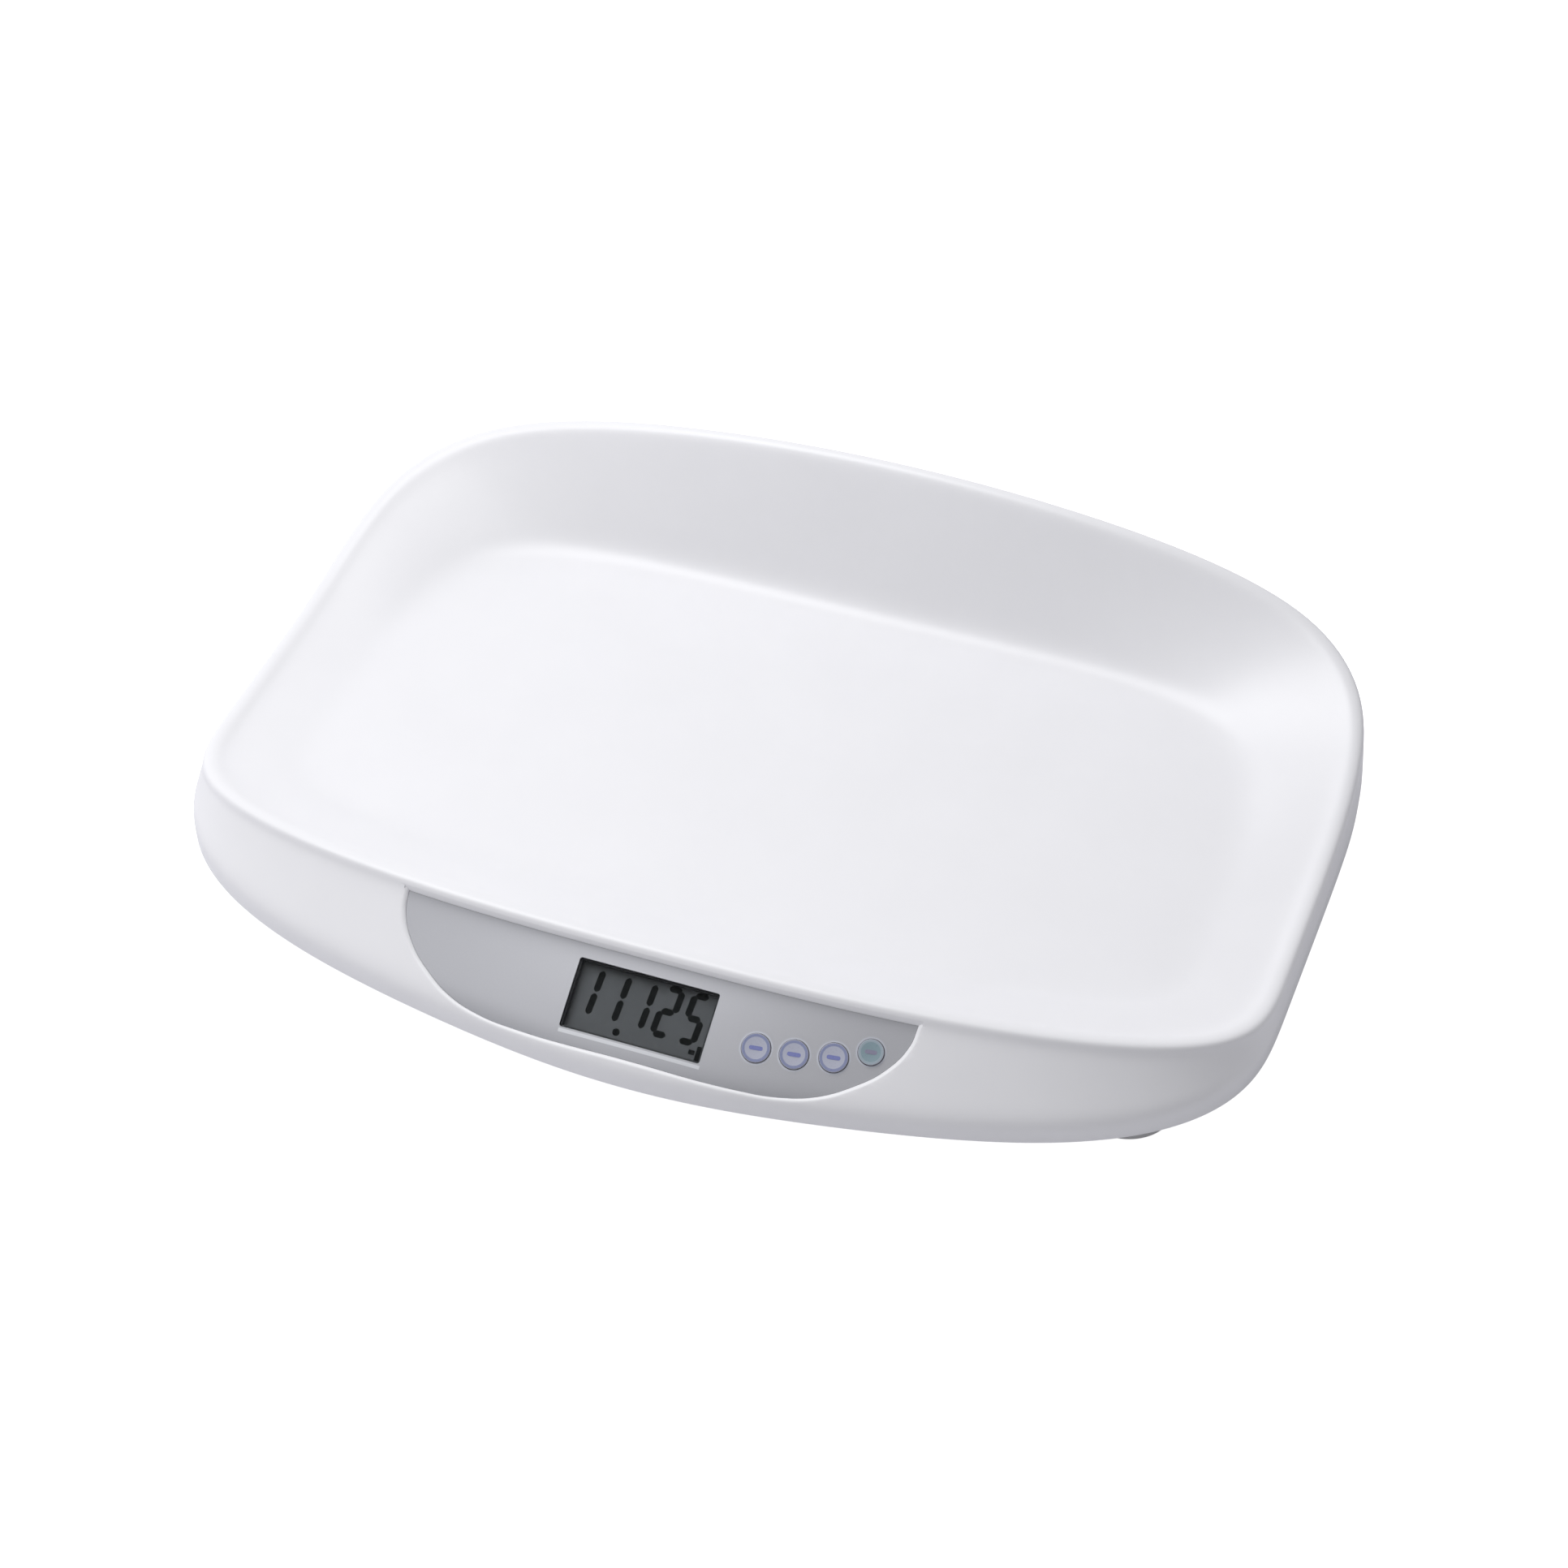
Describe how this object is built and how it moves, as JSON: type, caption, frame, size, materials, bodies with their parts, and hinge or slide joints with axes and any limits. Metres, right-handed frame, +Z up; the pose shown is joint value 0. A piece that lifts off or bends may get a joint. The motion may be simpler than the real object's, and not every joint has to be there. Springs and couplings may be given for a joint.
{
  "type": "digital baby weighing scale",
  "caption": "Oval baby scale: one-piece tray with raised rear wall, tilted front display panel with push keys, and sprung weighing feet.",
  "frame": {"origin": "on the table, under the middle of the bounding box", "axes": "+X to the right of someone reading the display, +Y to the high rear wall, +Z up"},
  "size_m": [0.5528, 0.3826, 0.1025],
  "materials": {
    "white_plastic": "satin moulded ABS",
    "panel_silver": "silver-grey printed overlay",
    "clear_window": "clear moulded cover",
    "lcd": "grey-green liquid crystal glass",
    "key_blue": "blue-ringed translucent key",
    "key_teal": "blue-green translucent key",
    "frame_plastic": "natural moulded plastic",
    "frame_black": "black moulded plastic",
    "zebra": "layered elastomer",
    "board_green": "circuit board laminate",
    "component_black": "black resin",
    "connector_white": "nylon connector",
    "steel": "zinc-plated steel",
    "nickel": "nickel-plated spring strip",
    "cell_wrap": "plain printed wrap",
    "rubber_grey": "non-slip rubber",
    "foot_plastic": "moulded plastic"
  },
  "bodies": {
    "housing": {"tray_shell": "white_plastic", "display_panel": "panel_silver", "display_window": "clear_window", "display_holder": "frame_black", "display_glass": "lcd", "contact_strip": "zebra", "control_board": "board_green", "key_board": "board_green", "key_switches": "component_black", "board_screws": "steel", "board_components": "component_black", "lead_terminals": "connector_white", "buzzer": "component_black", "base_cover": "white_plastic", "housing_screws": "steel", "battery_cells": "cell_wrap", "battery_contacts": "nickel", "load_cell_carriers": "frame_plastic", "front_left_load_cell": "steel", "front_right_load_cell": "steel", "rear_left_load_cell": "steel", "rear_right_load_cell": "steel"},
    "battery_door": {"battery_door": "white_plastic"},
    "hold_button": {"hold_button": "key_blue"},
    "zero_button": {"zero_button": "key_blue"},
    "unit_button": {"unit_button": "key_blue"},
    "power_button": {"power_button": "key_teal"},
    "front_left_foot": {"front_left_foot_body": "foot_plastic", "front_left_foot_pad": "rubber_grey"},
    "front_right_foot": {"front_right_foot_body": "foot_plastic", "front_right_foot_pad": "rubber_grey"},
    "rear_left_foot": {"rear_left_foot_body": "foot_plastic", "rear_left_foot_pad": "rubber_grey"},
    "rear_right_foot": {"rear_right_foot_body": "foot_plastic", "rear_right_foot_pad": "rubber_grey"}
  },
  "joints": [
    {"name": "battery_door_hinge", "type": "hinge", "parent": "housing", "child": "battery_door", "pos_m": [0, -0.0092, 0.0105], "axis": [-1, 0, 0], "range_deg": [0, 75]},
    {"name": "hold_button_press", "type": "slide", "parent": "housing", "child": "hold_button", "axis": [-0.0762, 0.5814, -0.8101], "range_m": [0, 0.0005], "stiffness_N_per_m": 4000},
    {"name": "zero_button_press", "type": "slide", "parent": "housing", "child": "zero_button", "axis": [-0.0762, 0.5814, -0.8101], "range_m": [0, 0.0005], "stiffness_N_per_m": 4000},
    {"name": "unit_button_press", "type": "slide", "parent": "housing", "child": "unit_button", "axis": [-0.0762, 0.5814, -0.8101], "range_m": [0, 0.0005], "stiffness_N_per_m": 4000},
    {"name": "power_button_press", "type": "slide", "parent": "housing", "child": "power_button", "axis": [-0.0762, 0.5814, -0.8101], "range_m": [0, 0.0005], "stiffness_N_per_m": 4000},
    {"name": "front_left_foot_load", "type": "slide", "parent": "housing", "child": "front_left_foot", "axis": [0, 0, 1], "range_m": [0, 0.0005], "stiffness_N_per_m": 4000, "deforming": ["front_left_load_cell"]},
    {"name": "front_right_foot_load", "type": "slide", "parent": "housing", "child": "front_right_foot", "axis": [0, 0, 1], "range_m": [0, 0.0005], "stiffness_N_per_m": 4000, "deforming": ["front_right_load_cell"]},
    {"name": "rear_left_foot_load", "type": "slide", "parent": "housing", "child": "rear_left_foot", "axis": [0, 0, 1], "range_m": [0, 0.0005], "stiffness_N_per_m": 4000, "deforming": ["rear_left_load_cell"]},
    {"name": "rear_right_foot_load", "type": "slide", "parent": "housing", "child": "rear_right_foot", "axis": [0, 0, 1], "range_m": [0, 0.0005], "stiffness_N_per_m": 4000, "deforming": ["rear_right_load_cell"]}
  ]
}
